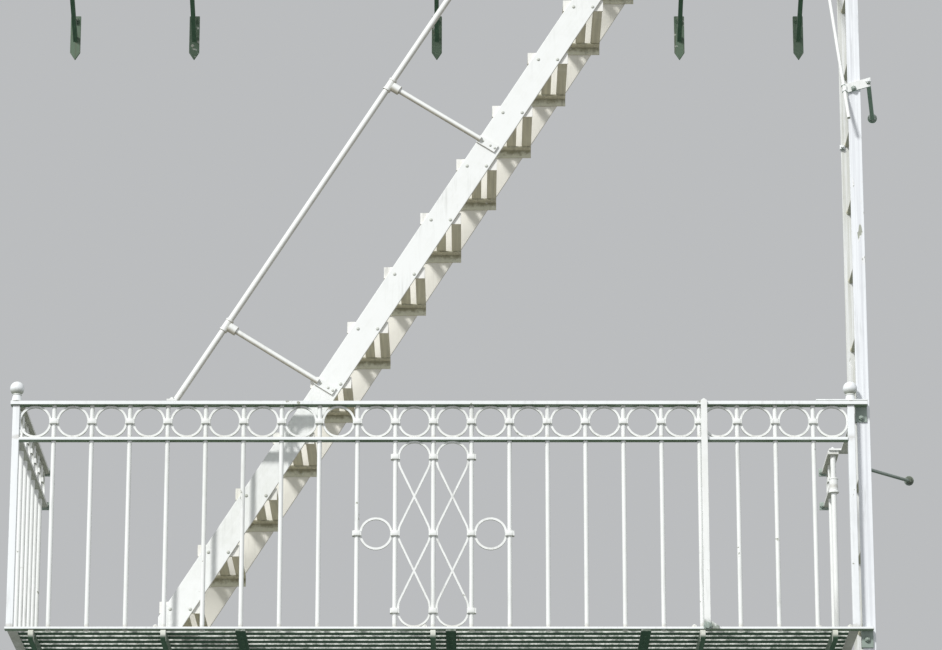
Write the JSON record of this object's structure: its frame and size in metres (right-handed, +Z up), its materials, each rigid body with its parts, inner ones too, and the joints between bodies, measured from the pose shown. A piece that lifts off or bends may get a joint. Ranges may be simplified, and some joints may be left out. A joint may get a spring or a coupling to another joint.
{
  "type": "fire escape stair",
  "caption": "Wall-hung iron fire escape: railed slatted balconies joined by a steep slatted flight, with a drop ladder stored at the end.",
  "frame": {"origin": "middle of the back face of the lower centre arm's wall plate, on the wall", "axes": "+X along the wall to the right seen from outside, +Y into the wall, +Z up"},
  "size_m": [3.6834, 1.0938, 4.983],
  "materials": {
    "railing_paint": "brushed off-white paint, worn and rusty in places",
    "deck_paint": "off-white paint, worn through by feet, rusty edges",
    "bracket_paint": "off-white paint with rust and grime",
    "stair_paint": "off-white paint, beige undersides, rust at the rivets",
    "ladder_paint": "thick peeling off-white paint"
  },
  "bodies": {
    "structure": {"far_guide": "railing_paint", "handrail": "railing_paint", "hanger_rod": "railing_paint", "inner_stringer": "stair_paint", "lower_balusters": "railing_paint", "lower_bottom_rail": "railing_paint", "lower_bracket_arms": "bracket_paint", "lower_bracket_braces": "bracket_paint", "lower_centre_ornament": "railing_paint", "lower_deck_battens": "deck_paint", "lower_deck_slats": "deck_paint", "lower_joint_bar": "railing_paint", "lower_left_corner_post": "railing_paint", "lower_left_railing": "railing_paint", "lower_pipe_post": "railing_paint", "lower_right_corner_post": "railing_paint", "lower_right_railing": "railing_paint", "lower_ring_band": "railing_paint", "lower_second_rail": "railing_paint", "lower_top_rail": "railing_paint", "near_guides": "railing_paint", "outer_stringer": "stair_paint", "stanchions": "railing_paint", "top_guide": "railing_paint", "tread_01": "stair_paint", "tread_02": "stair_paint", "tread_03": "stair_paint", "tread_04": "stair_paint", "tread_05": "stair_paint", "tread_06": "stair_paint", "tread_07": "stair_paint", "tread_08": "stair_paint", "tread_09": "stair_paint", "tread_10": "stair_paint", "tread_11": "stair_paint", "tread_12": "stair_paint", "tread_13": "stair_paint", "tread_14": "stair_paint", "upper_balusters": "railing_paint", "upper_bottom_rail": "railing_paint", "upper_bracket_arms": "bracket_paint", "upper_bracket_braces": "bracket_paint", "upper_centre_ornament": "railing_paint", "upper_deck_battens": "deck_paint", "upper_deck_slats": "deck_paint", "upper_joint_bar": "railing_paint", "upper_left_corner_post": "railing_paint", "upper_left_railing": "railing_paint", "upper_right_corner_post": "railing_paint", "upper_right_railing": "railing_paint", "upper_ring_band": "railing_paint", "upper_second_rail": "railing_paint", "upper_top_rail": "railing_paint", "wall_stay": "railing_paint"},
    "ladder": {"ladder_near_rail": "ladder_paint", "ladder_far_rail": "ladder_paint", "ladder_rungs": "ladder_paint"}
  },
  "joints": [
    {"name": "ladder_slide", "type": "slide", "parent": "structure", "child": "ladder", "axis": [0, 0, 1], "range_m": [-3.4, 0]}
  ]
}
